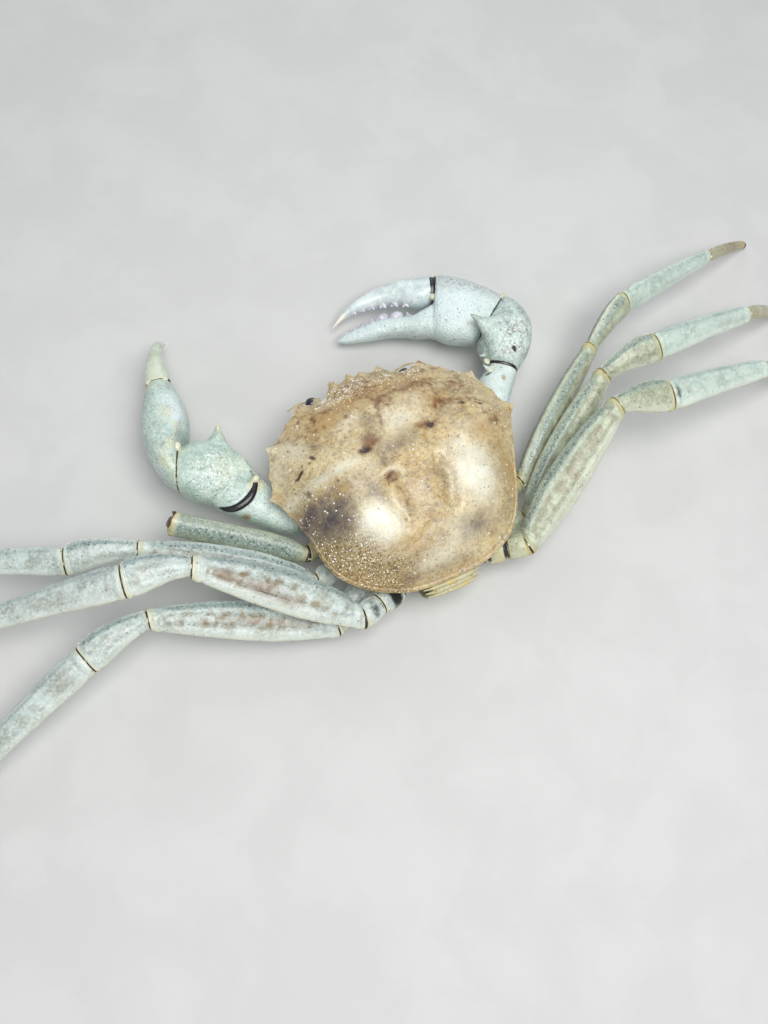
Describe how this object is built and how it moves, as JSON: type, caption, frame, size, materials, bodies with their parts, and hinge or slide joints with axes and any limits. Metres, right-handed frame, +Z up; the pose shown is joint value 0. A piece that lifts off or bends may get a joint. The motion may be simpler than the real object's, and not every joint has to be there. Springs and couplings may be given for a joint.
{
  "type": "crystal crab",
  "caption": "Life-size still model of a crystal crab lying flat with its claws forward and its long legs spread to the sides.",
  "frame": {"origin": "centre of the flat patch of the breast plate that stands on the floor, under the middle of the carapace", "axes": "-Y the way the face looks, +X to the crab's left, +Z up; longest along X, lowest along Z"},
  "size_m": [0.6299, 0.2228, 0.0643],
  "materials": {
    "carapace_shell": "wet satin shell",
    "breast_shell": "satin shell",
    "claw_shell": "satin shell",
    "finger_shell": "satin shell",
    "leg_shell": "satin shell",
    "leg_tip_shell": "horny tip",
    "eye_cornea": "glossy",
    "feeler_shell": "satin shell",
    "mouthpart_shell": "satin shell"
  },
  "bodies": {
    "root": {"abdomen": "breast_shell", "antenna_left": "feeler_shell", "antenna_right": "feeler_shell", "antennule_left": "feeler_shell", "antennule_right": "feeler_shell", "carapace": "carapace_shell", "claw_left_carpus": "claw_shell", "claw_left_coxa": "claw_shell", "claw_left_finger": "finger_shell", "claw_left_merus": "claw_shell", "claw_left_palm": "claw_shell", "claw_right_carpus": "claw_shell", "claw_right_coxa": "claw_shell", "claw_right_finger": "finger_shell", "claw_right_merus": "claw_shell", "claw_right_palm": "claw_shell", "eye_left": "eye_cornea", "eye_right": "eye_cornea", "leg2_left_coxa": "leg_shell", "leg2_left_merus": "leg_shell", "leg2_right_coxa": "leg_shell", "leg3_left_carpus": "leg_shell", "leg3_left_coxa": "leg_shell", "leg3_left_dactylus": "leg_tip_shell", "leg3_left_merus": "leg_shell", "leg3_left_propodus": "leg_shell", "leg3_right_carpus": "leg_shell", "leg3_right_coxa": "leg_shell", "leg3_right_dactylus": "leg_tip_shell", "leg3_right_merus": "leg_shell", "leg3_right_propodus": "leg_shell", "leg4_left_carpus": "leg_shell", "leg4_left_coxa": "leg_shell", "leg4_left_dactylus": "leg_tip_shell", "leg4_left_merus": "leg_shell", "leg4_left_propodus": "leg_shell", "leg4_right_carpus": "leg_shell", "leg4_right_coxa": "leg_shell", "leg4_right_dactylus": "leg_tip_shell", "leg4_right_merus": "leg_shell", "leg4_right_propodus": "leg_shell", "leg5_left_carpus": "leg_shell", "leg5_left_coxa": "leg_shell", "leg5_left_dactylus": "leg_tip_shell", "leg5_left_ischium": "leg_shell", "leg5_left_merus": "leg_shell", "leg5_left_propodus": "leg_shell", "leg5_right_carpus": "leg_shell", "leg5_right_coxa": "leg_shell", "leg5_right_dactylus": "leg_tip_shell", "leg5_right_ischium": "leg_shell", "leg5_right_merus": "leg_shell", "leg5_right_propodus": "leg_shell", "maxilliped_left": "mouthpart_shell", "maxilliped_right": "mouthpart_shell", "thorax": "breast_shell"}
  },
  "joints": []
}
